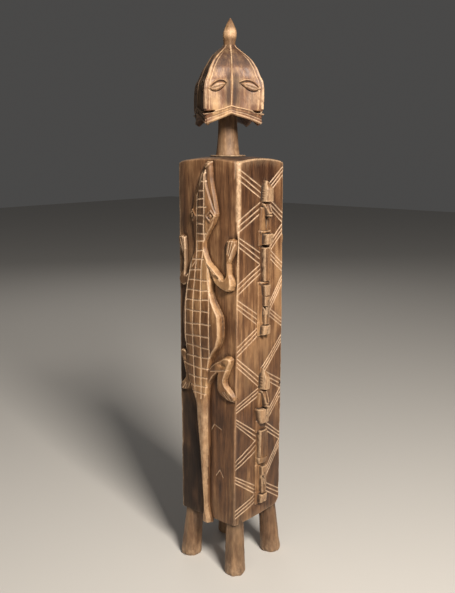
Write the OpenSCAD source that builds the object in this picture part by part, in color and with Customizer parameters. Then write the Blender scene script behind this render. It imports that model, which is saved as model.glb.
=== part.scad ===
// Carved ancestor figure: a four-sided hollow trunk on four legs, closed by a stopper
// that carries a neck and a four-faced head. A crocodile lies along two opposite sides,
// and two standing ancestors, one above the other, fill each of the other two.
// Millimetres. +Z is up, the origin is on the ground under the middle of the trunk,
// and the front crocodile faces -Y.

/* [Trunk] */
// Width of each of the trunk's four sides
trunk_w = 102.5; // [90:0.5:110]
// Height of the trunk's underside above the ground
trunk_z = 74; // [66:1:82]
// Height of the trunk's upper corners above the ground
shoulder_z = 575; // [560:1:590]
// Height of the flat seat round the mouth, above the upper corners
seat_rise = 7; // [5:0.5:8]
// Bevel along the four upright edges
edge_bevel = 2; // [1:0.5:3]

/* [Hollow] */
// Diameter of the mouth that the stopper closes
mouth_d = 38; // [34:1:40]
// Depth of the narrow mouth below the seat
mouth_depth = 50; // [46:1:60]
// Diameter of the hollow below the mouth
hollow_d = 62; // [50:1:66]
// Height of the hollow's floor above the trunk's underside
floor_h = 56; // [46:1:70]

/* [Legs] */
// Diameter of a leg where it meets the trunk
leg_top_d = 26; // [22:1:28]
// Diameter of a leg at the ground
leg_foot_d = 32; // [28:1:34]
// Distance of a leg's axis inside the trunk's sides, at the underside
leg_inset = 13.5; // [13:0.5:16]
// How far a leg spreads along each of the two middle planes, from the underside to the ground
leg_spread = 4.5; // [2:0.5:8]
// Diameter of the tenon on top of each leg
leg_tenon_d = 18; // [14:1:20]
// Length of the tenon on top of each leg
leg_tenon_h = 30; // [20:1:34]

/* [Stopper] */
// How far the stopper stands off the trunk's axis towards -X
stopper_off_x = 4; // [0:0.5:4]
// How far the stopper stands off the trunk's axis towards -Y
stopper_off_y = 3; // [0:0.5:4]
// Length of the plug inside the mouth
plug_h = 45; // [30:1:45]
// Radial gap between the plug and the mouth
plug_gap = 0.1; // [0.05:0.05:0.4]
// Diameter of the collar that rests on the seat
collar_d = 48; // [44:1:52]
// Thickness of the collar
collar_h = 2; // [1.5:0.5:4]
// Diameter of the neck above the collar
neck_foot_d = 33; // [28:1:36]
// Diameter of the neck under the head
neck_top_d = 25; // [22:1:27]
// Height of the neck
neck_h = 49; // [46:1:52]

/* [Head] */
// Angle that the head is turned from the trunk's sides
head_turn = 7; // [-45:1:45]
// Distance from the head's axis to the ridge of each nose
nose_r = 56; // [50:1:58]
// Share of that distance which the head keeps on the keels midway between two noses
cheek_share = 0.76; // [0.72:0.01:0.9]
// Height from the chins to the foot of the topknot
head_h = 104; // [98:1:108]
// How far the jaw rises between two chins
jaw_arch = 14; // [8:1:16]
// Height of the topknot
topknot_h = 34; // [28:1:38]
// Largest diameter of the topknot
topknot_d = 19; // [16:1:20]

/* [Carvings] */
// Height of a crocodile's back above the side that it lies on
croc_h = 12; // [9:1:16]
// Height of a crocodile's legs above that side
croc_leg_h = 7; // [5:1:9]
// Height of an upper ancestor, crest to sole
upper_h = 213; // [200:1:215]
// Height of a lower ancestor, crest to sole
lower_h = 200; // [185:1:202]
// Distance of the upper ancestors from the middle of their side
upper_at = 8; // [0:1:10]
// Distance of the lower ancestors from the middle of their side
lower_at = 5; // [0:1:10]

/* [Hidden] */
$fn = 64;
fine = 96;           // segments of the large round surfaces
carved = 12;         // sides of the small frustums that the carvings are hulled from
side_y = trunk_w / 2;
leg_top_at = side_y - leg_inset;
leg_foot_at = leg_top_at + leg_spread;
seat_z = shoulder_z + seat_rise;
collar_z = seat_z + collar_h;
neck_z = collar_z + neck_h;          // top of the neck, where the head sits on it
chin_z = neck_z - jaw_arch + 3;      // lowest points of the head
crown_z = chin_z + head_h;           // flat top of the head, under the topknot
corner_r = side_y * sqrt(2);
dome_rise = seat_rise + 2;   // rise of the dome's full curve, whose top the seat cuts off
dome_r = (corner_r * corner_r + dome_rise * dome_rise) / (2 * dome_rise);
tenon_gap = 0.1;     // radial gap round each leg's tenon
tenon_end = 0.6;     // gap above each leg's tenon
over = 1;            // overshoot of a cutting solid
wood = "#5b3a22";
worn = "#8a6544";
dark = "#3d2616";

// ---- Trunk ---------------------------------------------------------------------------

// The trunk's section, with its upright edges bevelled.
module trunk_section() {
    b = edge_bevel;
    s = side_y;
    polygon([[s, s - b], [s - b, s], [b - s, s], [-s, s - b],
             [-s, b - s], [b - s, -s], [s - b, -s], [s, b - s]]);
}

// The hollow: a narrow round mouth that opens out into a wider bore with a round floor edge.
module hollow() {
    r = hollow_d / 2;
    m = mouth_d / 2;
    z0 = trunk_z + floor_h;
    z1 = seat_z - mouth_depth;
    fillet = 8;
    rotate_extrude($fn = fine)
        polygon(concat(
            [[0, z0]],
            [for (a = [-90:15:0]) [r - fillet + fillet * cos(a), z0 + fillet + fillet * sin(a)]],
            [[r, z1 - (r - m)], [m, z1], [0, z1]]
        ));
    translate([-stopper_off_x, -stopper_off_y, z1 - (r - m)])
        cylinder(h = seat_z - z1 + (r - m) + over, d = mouth_d, $fn = fine);
}

module trunk() {
    color(wood)
        difference() {
            intersection() {
                translate([0, 0, trunk_z])
                    linear_extrude(height = seat_z - trunk_z)
                        trunk_section();
                translate([0, 0, shoulder_z + dome_rise - dome_r])
                    sphere(r = dome_r, $fn = fine);
            }
            hollow();
            for (sx = [-1, 1], sy = [-1, 1])
                leg_axis(sx, sy)
                    cylinder(h = leg_slant(trunk_z + leg_tenon_h) + tenon_end,
                             d = leg_tenon_d + 2 * tenon_gap);
        }
}

// ---- Legs ----------------------------------------------------------------------------

leg_lean = atan((leg_foot_at - leg_top_at) * sqrt(2) / trunk_z);
leg_foot_r_at = leg_foot_at * sqrt(2);

// Length along a leg's leaning axis that rises from the ground to height z.
function leg_slant(z) = z / cos(leg_lean);

// Places a child along the axis of the leg in the corner (sx, sy), starting at the ground.
module leg_axis(sx, sy) {
    rotate([0, 0, atan2(sy, sx)])
        translate([leg_foot_r_at, 0, 0])
            rotate([0, -leg_lean, 0])
                children();
}

// One leg: a stout peg that spreads towards the ground, with a tenon in the trunk.
module leg(sx, sy) {
    spare = 10;
    grow = (leg_foot_d - leg_top_d) / leg_slant(trunk_z);
    color(worn)
        union() {
            intersection() {
                leg_axis(sx, sy)
                    translate([0, 0, -spare])
                        cylinder(h = leg_slant(trunk_z) + 2 * spare,
                                 d1 = leg_foot_d + grow * spare,
                                 d2 = leg_top_d - grow * spare);
                translate([-trunk_w, -trunk_w, 0])
                    cube([2 * trunk_w, 2 * trunk_w, trunk_z]);
            }
            leg_axis(sx, sy)
                translate([0, 0, leg_slant(trunk_z / 2)])
                    cylinder(h = leg_slant(trunk_z / 2 + leg_tenon_h), d = leg_tenon_d);
        }
}

// ---- Carvings in relief --------------------------------------------------------------

wide = trunk_w / 100;    // what the carvings' places across a side are multiplied by

// A low frustum that stands on the -Y side at [x, z], r wide at its foot.
module boss(at, r, h, top = 0.75) {
    translate([at[0] * wide, -side_y, at[1]])
        rotate([90, 0, 0])
            cylinder(h = h, r1 = r, r2 = r * top, $fn = carved);
}

// A limb through a list of [x, z, radius, height] stations on the -Y side.
module limb(stations) {
    for (i = [0:len(stations) - 2])
        hull()
            for (s = [stations[i], stations[i + 1]])
                boss([s[0], s[1]], s[2], s[3]);
}

// Stations along a crocodile from tail tip to snout: [z, middle x, half width, share of croc_h].
croc_line = [
    [68, -1.8, 7.3, 0.53], [84, -2.3, 4.5, 0.52], [101, -2.8, 3.5, 0.52],
    [131, -4, 4.5, 0.55], [170, -4.7, 6.4, 0.60], [199, -6, 8, 0.63], [218, -7.1, 9, 0.65],
    [240, -7.8, 9.8, 0.67], [254, -9.1, 11.3, 0.67], [270, -11.4, 15.9, 0.67],
    [285, -12.5, 19.1, 0.67], [300, -12.8, 20.3, 0.67], [312, -11.9, 21.8, 0.71],
    [320, -9.4, 24.7, 0.75], [330, -6, 28.6, 0.83], [344, -4, 31.5, 0.92],
    [358, -4, 32, 0.96], [373, -4.7, 31.2, 0.92], [384, -7.7, 27.3, 0.88],
    [394, -10.1, 23.9, 0.79], [403, -11.4, 21.8, 0.71], [418, -10.6, 20.5, 0.62],
    [432, -9.4, 18.8, 0.58], [445, -9.6, 15.6, 0.50], [455, -10.1, 10.2, 0.40],
    [464, -10.6, 8.3, 0.35], [472, -10.6, 9, 0.38], [483, -8, 13, 0.47],
    [494, -4, 16.9, 0.54], [508, -2.8, 22, 0.62], [519, -2.6, 19.7, 0.62],
    [532, -2.6, 16.9, 0.60], [542, -1.6, 13.5, 0.58], [555, -0.2, 9.9, 0.54],
    [565, 1.9, 7.1, 0.50], [573, 5, 3.5, 0.38]
];
croc_steps = 56;
croc_arc = 10;       // steps across the back

function croc_pick(k) = [for (s = croc_line) [s[0], s[k]]];
croc_mid = croc_pick(1);
croc_half = croc_pick(2);
croc_rise = croc_pick(3);

// A power of a sine or cosine that keeps its sign.
function bulge(v, p) = sign(v) * pow(abs(v), p);

// A point on the crocodile's back: at height z, at angle a from its left edge to its right.
function croc_point(z, a) = [
    wide * (lookup(z, croc_mid) - lookup(z, croc_half) * bulge(cos(a), 0.7)),
    -side_y - lookup(z, croc_rise) * croc_h * bulge(sin(a), 0.6),
    z
];

// The crocodile's head, back and tail as one rounded ridge with a flat underside.
module croc_ridge() {
    n = croc_arc + 1;
    z0 = croc_line[0][0];
    z1 = croc_line[len(croc_line) - 1][0];
    points = [
        for (i = [0:croc_steps], j = [0:croc_arc])
            croc_point(z0 + (z1 - z0) * i / croc_steps, 180 * j / croc_arc)
    ];
    skin = [
        for (i = [0:croc_steps - 1], j = [0:croc_arc - 1])
            each [[i * n + j, (i + 1) * n + j, i * n + j + 1],
                  [i * n + j + 1, (i + 1) * n + j, (i + 1) * n + j + 1]]
    ];
    under = [
        for (i = [0:croc_steps - 1])
            each [[i * n, i * n + croc_arc, (i + 1) * n],
                  [i * n + croc_arc, (i + 1) * n + croc_arc, (i + 1) * n]]
    ];
    tail_end = [[for (j = [0:croc_arc]) j]];
    snout_end = [[for (j = [croc_arc:-1:0]) croc_steps * n + j]];
    polyhedron(points, concat(skin, under, tail_end, snout_end), convexity = 6);
}

// Where a limb's station at x on the right lies on the side s: its root follows the body,
// which lies left of the middle, and its tip reaches as far out on the left as on the right.
function limb_x(s, x) = s > 0 ? x : -x - 14 * (1 - min(max(x / 40, 0), 1));

// A fore leg on the side s: upper arm down to the elbow, hand up beside it.
module croc_fore_leg(s) {
    h = croc_leg_h;
    limb([for (p = [[-2, 452, 7, h], [14, 438, 7, h], [33, 418, 8, h], [40, 420, 8, h],
                    [42, 445, 7.5, 0.85 * h], [42.5, 467, 7, 0.6 * h]])
        [limb_x(s, p[0]), p[1], p[2], p[3]]]);
}

// A hind leg on the side s: thigh up to the knee, shin down, and the foot outwards.
module croc_hind_leg(s) {
    h = croc_leg_h;
    limb([for (p = [[4, 281, 13, h], [20, 299, 10, h], [39, 310, 8.5, h], [31, 288, 8, h],
                    [33, 272, 8, 0.85 * h], [43, 264, 6.5, 0.6 * h]])
        [limb_x(s, p[0]), p[1], p[2], p[3]]]);
}

module crocodile() {
    color(worn)
        union() {
            croc_ridge();
            for (s = [-1, 1]) {
                croc_fore_leg(s);
                croc_hind_leg(s);
            }
        }
}

// A pillow-shaped block of an ancestor on the -Y side, w wide, from height z0 to z1, h proud.
module block(w, z0, z1, h, top = 0.7) {
    r = min(w, z1 - z0) / 2;
    hull()
        for (x = [r - w / 2, w / 2 - r], z = [z0 + r, z1 - r])
            boss([x, z], r, h, top);
}

// One standing ancestor of height t, on the -Y side, its soles at height 0.
module ancestor_form(t) {
    u = t / 100;
    leg_x = 1.75 * u;
    union() {
        hull() {
            boss([0, 98 * u], 1.4 * u, 5);
            boss([0, 87.5 * u], 3.9 * u, 11, 0.9);
            boss([0, 80 * u], 3 * u, 9, 0.85);
            boss([0, 76 * u], 1.5 * u, 8, 0.8);
        }
        block(5.4 * u, 66 * u, 78 * u, 5.5);
        block(9.6 * u, 59.5 * u, 67.5 * u, 11, 0.88);
        block(6.4 * u, 32 * u, 62 * u, 8.5, 0.85);
        block(7.8 * u, 26 * u, 34.5 * u, 11, 0.88);
        for (s = [-1, 1]) {
            hull() {
                boss([s * leg_x, 27 * u], 1.9 * u, 9);
                boss([s * leg_x, 16 * u], 1.9 * u, 9.5);
            }
            hull() {
                boss([s * leg_x, 16 * u], 1.9 * u, 9.5);
                boss([s * leg_x, 6 * u], 1.7 * u, 8);
            }
            hull() {
                boss([s * leg_x, 5 * u], 1.9 * u, 8);
                boss([s * leg_x * 1.15, 2.1 * u], 2.1 * u, 10);
            }
        }
    }
}

// Places an ancestor on the +X side, its soles at height z and its middle at the distance y.
module ancestor(t, y, z) {
    color(worn)
        rotate([0, 0, 90])
            translate([y, 0, z])
                ancestor_form(t);
}

upper_z = 338;       // soles of an upper ancestor
lower_z = 90;        // soles of a lower ancestor

// ---- Stopper, neck, head and topknot ---------------------------------------------------

module on_stopper_axis() {
    translate([-stopper_off_x, -stopper_off_y, 0])
        children();
}

// The plug with its collar, a body of revolution.
module stopper_plug() {
    r = mouth_d / 2 - plug_gap;
    c = collar_d / 2;
    soft = 1;
    color(dark)
        on_stopper_axis()
            rotate_extrude($fn = fine)
                polygon([[0, seat_z - plug_h], [r - soft, seat_z - plug_h],
                         [r, seat_z - plug_h + soft], [r, seat_z], [c, seat_z],
                         [c, collar_z - soft], [c - soft, collar_z], [0, collar_z]]);
}

module neck() {
    color(wood)
        on_stopper_axis()
            translate([0, 0, collar_z])
                cylinder(h = neck_h, d1 = neck_foot_d, d2 = neck_top_d, $fn = fine);
}

// The nose ridge's distance from the axis, as a share of nose_r, against the share of head_h.
head_profile = [
    [0, 0.86], [0.05, 0.93], [0.12, 0.96], [0.2, 1], [0.45, 1], [0.53, 0.97], [0.59, 0.92],
    [0.7, 0.8], [0.79, 0.66], [0.87, 0.5], [0.93, 0.32], [0.98, 0.18], [1, 0.15]
];
head_rings = 22;
head_sides = 48;

// How far the angle a is from the nearest nose, from 0 on its ridge to 45 on a keel.
function off_nose(a) = abs(((a + 45) % 90) - 45);

// The head's radius at angle a and at share t of its height: flat cheeks between four noses,
// with a low keel down the middle of each cheek, growing round towards the crown.
function head_r(t, a) =
    let (flat = cos(45) / cos(45 - off_nose(a)),
         keel = (cheek_share - cos(45)) * pow(sin(2 * off_nose(a)), 8),
         cheek = flat + keel)
        nose_r * lookup(t, head_profile) * (cheek + (1 - cheek) * pow(t, 4));

// The height of ring t at angle a: the jaw arches up between the chins.
function head_z(t, a) =
    chin_z + head_h * t + jaw_arch * sin(2 * off_nose(a)) * pow(1 - t, 4);

module head_block() {
    n = head_sides;
    neck_ring = [for (j = [0:n - 1]) [neck_top_d / 2 * cos(360 * j / n),
                                      neck_top_d / 2 * sin(360 * j / n), neck_z]];
    rings = [
        for (i = [0:head_rings], j = [0:n - 1])
            let (t = i / head_rings, a = 360 * j / n)
                [head_r(t, a) * cos(a), head_r(t, a) * sin(a), head_z(t, a)]
    ];
    skin = [
        for (i = [0:head_rings], j = [0:n - 1])
            let (k = (j + 1) % n)
                each [[i * n + j, (i + 1) * n + j, i * n + k],
                      [i * n + k, (i + 1) * n + j, (i + 1) * n + k]]
    ];
    under = [[for (j = [0:n - 1]) j]];
    top = [[for (j = [n - 1:-1:0]) (head_rings + 1) * n + j]];
    polyhedron(concat(neck_ring, rings), concat(skin, under, top), convexity = 8);
}

// An almond eye on the left or right half of a cheek, between its keel and a nose.
module eye(s) {
    eye_l = 11;
    eye_z = chin_z + head_h / 2;
    rotate([0, 0, 45])
        translate([nose_r * cos(45) + 0.5, s * 0.4 * nose_r, eye_z])
            rotate([s * 12, 0, 0])
                hull()
                    for (e = [[-eye_l, 1.2], [0, 4.5], [eye_l, 1.2]])
                        translate([0, e[0], 0])
                            rotate([0, 90, 0])
                                cylinder(h = 4, r1 = e[1] + 1, r2 = e[1], center = true, $fn = carved);
}

module head() {
    slit_h = 2.4;
    slit_z = chin_z + 0.16 * head_h;
    color(wood)
        on_stopper_axis()
            rotate([0, 0, head_turn])
                difference() {
                    union() {
                        head_block();
                        for (q = [0:3], s = [-1, 1])
                            rotate([0, 0, 90 * q])
                                eye(s);
                    }
                    for (q = [0:3])
                        rotate([0, 0, 90 * q])
                            translate([nose_r - 11, -nose_r / 3, slit_z])
                                cube([nose_r / 2, 2 * nose_r / 3, slit_h]);
                }
}

// The topknot: a bud on a short waist.
module topknot() {
    r = topknot_d / 2;
    h = topknot_h;
    color(worn)
        on_stopper_axis()
            translate([0, 0, crown_z])
                rotate_extrude($fn = 48)
                    polygon([[0, 0], [0.84 * r, 0], [0.78 * r, 0.12 * h], [0.86 * r, 0.24 * h],
                             [0.98 * r, 0.38 * h], [r, 0.48 * h], [0.93 * r, 0.6 * h],
                             [0.74 * r, 0.74 * h], [0.46 * r, 0.88 * h], [0.2 * r, 0.97 * h],
                             [0.1 * r, h], [0, h]]);
}

// ---- The pieces ------------------------------------------------------------------------

trunk();
leg(-1, -1);  // leg_front_left
leg(1, -1);  // leg_front_right
leg(-1, 1);  // leg_back_left
leg(1, 1);  // leg_back_right
crocodile();  // crocodile_front
rotate([0, 0, 180]) crocodile();  // crocodile_back
ancestor(upper_h, upper_at, upper_z);  // ancestor_right_upper
ancestor(lower_h, lower_at, lower_z);  // ancestor_right_lower
rotate([0, 0, 180]) ancestor(upper_h, upper_at, upper_z);  // ancestor_left_upper
rotate([0, 0, 180]) ancestor(lower_h, lower_at, lower_z);  // ancestor_left_lower
stopper_plug();
neck();
head();
topknot();
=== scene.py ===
import math

import bpy
import numpy as np
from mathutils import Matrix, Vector


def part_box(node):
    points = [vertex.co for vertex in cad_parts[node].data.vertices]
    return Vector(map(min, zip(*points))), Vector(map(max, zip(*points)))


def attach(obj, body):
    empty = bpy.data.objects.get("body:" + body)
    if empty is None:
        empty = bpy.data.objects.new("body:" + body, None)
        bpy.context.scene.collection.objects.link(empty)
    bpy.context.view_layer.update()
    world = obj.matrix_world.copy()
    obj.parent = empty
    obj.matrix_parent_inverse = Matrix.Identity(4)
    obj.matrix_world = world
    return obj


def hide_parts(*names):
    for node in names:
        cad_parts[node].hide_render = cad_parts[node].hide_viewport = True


# Visual model of the carved ancestor figure: a four-sided hollow trunk on four legs, with a
# crocodile on two sides and two ancestors on each of the others, and a stopper that carries a
# neck, a four-faced head and a topknot. Lengths are in millimetres until mesh_piece().

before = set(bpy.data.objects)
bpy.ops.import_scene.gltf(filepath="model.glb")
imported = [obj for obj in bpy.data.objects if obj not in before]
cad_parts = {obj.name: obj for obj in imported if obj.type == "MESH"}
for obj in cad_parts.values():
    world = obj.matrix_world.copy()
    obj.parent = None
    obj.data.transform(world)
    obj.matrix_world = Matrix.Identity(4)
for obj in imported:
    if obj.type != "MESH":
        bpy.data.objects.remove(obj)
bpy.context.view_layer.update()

MM = 0.001
COARSE = 1.0
FACES = 190000  # most triangles in one piece


def box_mm(node):
    """Lowest and highest corner of a CAD node, in millimetres."""
    lo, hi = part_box(node)
    return np.array(lo) / MM, np.array(hi) / MM


# ---- Sizes from the frame ----

trunk_lo, trunk_hi = box_mm("trunk")
plug_lo, plug_hi = box_mm("stopper_plug")
neck_lo, neck_hi = box_mm("neck")
head_lo, head_hi = box_mm("head")
knot_lo, knot_hi = box_mm("topknot")

HALF = trunk_hi[0]  # half the trunk's width
BASE_Z, SEAT_Z = trunk_lo[2], trunk_hi[2]
SHOULDER_Z = SEAT_Z - 7  # the trunk's upper corners
DOME_RISE = 9.0  # of the top's middle above the upper corners
DOME_R = (2 * HALF ** 2 + DOME_RISE ** 2) / (2 * DOME_RISE)
MOUTH_R, HOLLOW_R = 19.0, 31.0  # the plug's hole and the hollow below it
MOUTH_DEPTH, FLOOR_H = 50.0, 56.0
AXIS = (plug_lo[:2] + plug_hi[:2]) / 2  # where the stopper stands
HEAD_TURN = math.radians(7)
LEAN_TO = math.radians(40)  # direction that the head leans to
NOSE_R = (head_hi[0] - head_lo[0]) / 2 / math.cos(HEAD_TURN)
CHIN_Z, CROWN_Z = head_lo[2], head_hi[2]


# ---- Number helpers ----

def smooth(lo, hi, x):
    """0 below lo, 1 above hi and a smooth step between them."""
    t = np.clip((x - lo) / (hi - lo), 0, 1)
    return t * t * (3 - 2 * t)


def lattice(i, j, seed):
    n = np.sin(i * 127.1 + j * 311.7 + seed * 74.7) * 43758.5453
    return n - np.floor(n)


def noise(x, y, seed, octaves=1):
    """Smooth noise from about -1 to 1, one lump to each unit."""
    total, gain = 0, 1.0
    for k in range(octaves):
        i, j = np.floor(x), np.floor(y)
        fx, fy = x - i, y - j
        fx, fy = fx * fx * (3 - 2 * fx), fy * fy * (3 - 2 * fy)
        low = lattice(i, j, seed + k) * (1 - fx) + lattice(i + 1, j, seed + k) * fx
        high = lattice(i, j + 1, seed + k) * (1 - fx) + lattice(i + 1, j + 1, seed + k) * fx
        total = total + gain * (2 * (low * (1 - fy) + high * fy) - 1)
        x, y, gain = x * 2.03, y * 2.03, gain * 0.5
    return total / (2 - 0.5 ** (octaves - 1))


def eased(z, zs, values, reach=5.0):
    """Stations joined by a line whose corners are rounded over the reach."""
    return sum(np.interp(z + d * reach, zs, values) for d in (-1, -0.5, 0, 0.5, 1)) / 5


def to_segment(u, z, a, b):
    """Distance to the segment from a to b, and the share of the way along it."""
    du, dz = b[0] - a[0], b[1] - a[1]
    t = np.clip(((u - a[0]) * du + (z - a[1]) * dz) / (du * du + dz * dz), 0, 1)
    return np.hypot(u - a[0] - t * du, z - a[1] - t * dz), t


def groove(distance, width):
    """1 in the middle of a groove, falling to 0 at its lips."""
    return np.clip(1 - (2 * distance / width) ** 2, 0, 1)


def swell(inside, wall):
    """A rounded wall: 0 at the edge and 1 from the depth wall inwards."""
    t = np.clip(inside / wall, 0, 1)
    return np.sqrt(1 - (1 - t) ** 2)


def bevel(inside, wall):
    """A steep knife-cut wall that meets its flat top at an edge."""
    return np.clip(inside / wall, 0, 1) ** 0.8


# ---- Meshes ----

CROC_STEP, ANCESTOR_STEP = 0.62, 0.34  # grid steps of the reliefs
TRUNK_COLUMNS, TRUNK_ROWS = 146, 680  # of the grid on one side of the trunk
HEAD_COLUMNS, HEAD_ROWS = 640, 270  # of the grid all round the head
MARKS = ("cut", "wear", "dirt_and_shade")  # pale incisions, rubbed wood with some painted highlights, and grime with painted shade


def put(name, data):
    """A new object in the scene."""
    made = bpy.data.objects.new(name, data)
    bpy.context.scene.collection.objects.link(made)
    return made


def mesh_piece(name, points, quads, marks, body, node, slot, material, caps=()):
    """One finished piece: a mesh with its marks, riding a body and standing for a CAD node."""
    mesh = bpy.data.meshes.new(name)
    sizes = [4] * len(quads) + [len(c) for c in caps]
    loops = np.concatenate([np.asarray(quads).reshape(-1)] + [np.asarray(c) for c in caps])
    mesh.vertices.add(len(points))
    mesh.vertices.foreach_set("co", (np.asarray(points) * MM).astype(np.float32).ravel())
    mesh.loops.add(len(loops))
    mesh.loops.foreach_set("vertex_index", loops.astype(np.int32))
    mesh.polygons.add(len(sizes))
    starts = np.concatenate([[0], np.cumsum(sizes)[:-1]])
    mesh.polygons.foreach_set("loop_start", starts.astype(np.int32))
    mesh.update(calc_edges=True)
    mesh.validate()
    for key in MARKS:
        layer = mesh.attributes.new(key, "FLOAT", "POINT")
        layer.data.foreach_set("value", np.clip(marks[key], 0, 1).astype(np.float32).ravel())
    mesh.shade_smooth()
    mesh.materials.append(material)
    piece = put(name, mesh)
    thin(piece)
    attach(piece, body)
    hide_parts(node)
    return piece


def thin(piece):
    """Collapses flat areas until the piece has at most FACES triangles."""
    mesh = piece.data
    triangles = sum(p.loop_total - 2 for p in mesh.polygons)
    if triangles <= FACES:
        return
    fewer = piece.modifiers.new("thin", "DECIMATE")
    fewer.ratio = FACES / triangles
    deps = bpy.context.evaluated_depsgraph_get()
    done = bpy.data.meshes.new_from_object(piece.evaluated_get(deps), depsgraph=deps)
    piece.modifiers.clear()
    piece.data = done
    done.name = piece.name
    bpy.data.meshes.remove(mesh)


def full_turn(count):
    """Angles all the way round, count of them at the finest."""
    around = int(count / COARSE)
    return np.arange(around) / around * 2 * math.pi


def fine_shares(count):
    """Shares from 0 to 1, count of them at the finest."""
    return np.linspace(0, 1, int(count / COARSE))


def tube_quads(rings, around):
    """Quads of a tube whose rings run from first to last, each closed on itself."""
    i = np.arange(rings - 1)[:, None] * around
    j = np.arange(around)[None, :]
    k = (j + 1) % around
    return np.stack([i + j, i + k, i + around + k, i + around + j], -1).reshape(-1, 4)


def tube_piece(name, rings, marks, *rest):
    """A closed piece from rings of points, capped at both ends."""
    count, around = rings.shape[:2]
    low = np.arange(around)[::-1]
    high = (count - 1) * around + np.arange(around)
    return mesh_piece(name, rings.reshape(-1, 3), tube_quads(count, around),
                      {k: v.reshape(-1) for k, v in marks.items()}, *rest, caps=(low, high))


def relief_piece(name, u, z, height, marks, quarter, *rest):
    """A closed relief on side number quarter, kept only where it stands above the side."""
    sunk, back = -2.0, 4.0
    rows, cols = height.shape
    solid = height > sunk
    cell = solid[:-1, :-1] & solid[1:, :-1] & solid[:-1, 1:] & solid[1:, 1:]
    index = np.arange(rows * cols).reshape(rows, cols)
    a, b = index[:-1, :-1][cell], index[:-1, 1:][cell]
    c, d = index[1:, 1:][cell], index[1:, :-1][cell]
    top = np.stack([a, b, c, d], -1)
    under = top[:, ::-1] + rows * cols
    walls = []
    for p, q, shift in ((a, b, (-1, 0)), (b, c, (0, 1)), (c, d, (1, 0)), (d, a, (0, -1))):
        wide = np.zeros((rows + 1, cols + 1), bool)
        wide[1:rows, 1:cols] = cell
        next_to = wide[1 + shift[0]:rows + shift[0], 1 + shift[1]:cols + shift[1]][cell]
        p, q = p[~next_to], q[~next_to]
        walls.append(np.stack([q, p, p + rows * cols, q + rows * cols], -1))
    quads = np.concatenate([top, under] + walls)
    front = np.stack([u, -HALF - height, z], -1).reshape(-1, 3)
    rear = np.stack([u, np.full_like(u, back - HALF), z], -1).reshape(-1, 3)
    points = np.concatenate([front, rear])
    used, quads = np.unique(quads, return_inverse=True)
    quads = quads.reshape(-1, 4)
    kept = {k: np.concatenate([v.ravel(), v.ravel()])[used] for k, v in marks.items()}
    return mesh_piece(name, turned(points[used], quarter), quads, kept, *rest)


def turned(points, quarter):
    """Points turned about +Z by a number of quarter turns."""
    x, y, z = points[..., 0], points[..., 1], points[..., 2]
    for _ in range(quarter % 4):
        x, y = -y, x
    return np.stack([x, y, z], -1)


def relief_marks(height, step, cut):
    """Rubbed places, and grime with painted shade in hollows, from how far a height field stands above its
    neighbourhood.
    """
    reach = max(1, int(round(1.6 / step)))
    near = height.copy()
    for axis in (0, 1):
        near = sum(np.roll(near, s, axis) for s in range(-reach, reach + 1)) / (2 * reach + 1)
    proud = height - near
    return {"cut": cut, "wear": 0.6 * smooth(0.35, 1.4, proud), "dirt_and_shade": smooth(0.4, 2.2, -proud)}


# ---- The crocodile ----

# Height, left edge, right edge and rise of the crocodile's back, tail to snout.
CROC_LINE = np.array([
    (60, -8.9, 5.8, 6.4), (73, -8.9, 5.8, 6.4), (84, -6.9, 2.3, 6.2), (101, -6.4, 0.7, 6.2),
    (131, -8.8, 0.4, 6.6), (170, -11.5, 1.7, 7.2), (199, -14.4, 2.1, 7.6), (218, -16.5, 1.9, 7.8),
    (240, -17.9, 1.9, 8), (254, -20.9, 2.1, 8), (270, -27.9, 4.6, 8), (285, -32.4, 6.6, 8),
    (300, -33.9, 7.6, 8), (312, -34.4, 10.1, 8.5), (320, -34.9, 15.6, 9), (330, -35.4, 23.1, 10),
    (344, -36.4, 28.1, 11), (358, -36.9, 28.6, 11.5), (373, -36.9, 27.1, 11), (384, -35.9, 20.1, 10.5),
    (394, -34.9, 14.1, 9.5), (403, -33.9, 10.6, 8.5), (418, -31.9, 10.1, 7.5), (432, -28.9, 9.6, 7),
    (445, -25.9, 6.1, 6), (455, -20.9, 0.1, 4.8), (464, -19.4, -2.4, 4.2), (472, -19.9, -1.7, 4.6),
    (483, -21.4, 5.1, 5.6), (494, -21.4, 13.1, 6.5), (508, -25.4, 19.6, 7.5), (519, -22.9, 17.4, 7.5),
    (532, -19.9, 14.6, 7.2), (542, -15.4, 12.1, 7), (555, -10.4, 9.8, 6.5), (565, -5.4, 9.1, 6),
    (576, 2.1, 8.1, 4.4)
])
# Height, middle and spacing of the upright lines of its lattice.
CROC_GRID = np.array([
    (250, -10.4, 10), (284, -11.3, 12.8), (305, -11.7, 14), (345, -10.2, 14.5), (380, -9.7, 14.3),
    (405, -10.7, 13), (425, -10.1, 11), (442, -9.1, 9.6), (459, -8.5, 11), (487, -7.2, 12.6),
    (508, -4.7, 13.4), (532, -4.7, 12.8), (550, -3.7, 9.5), (565, -0.9, 5)
])
CROC_ROWS = (562, 551, 539, 528, 517, 506, 495, 482, 472, 459, 447, 433, 419, 405, 392, 377, 359,
             342, 327, 312, 297, 283, 270, 260)
NECK_Z = 464
SNOUT_Z = 575.5
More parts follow.
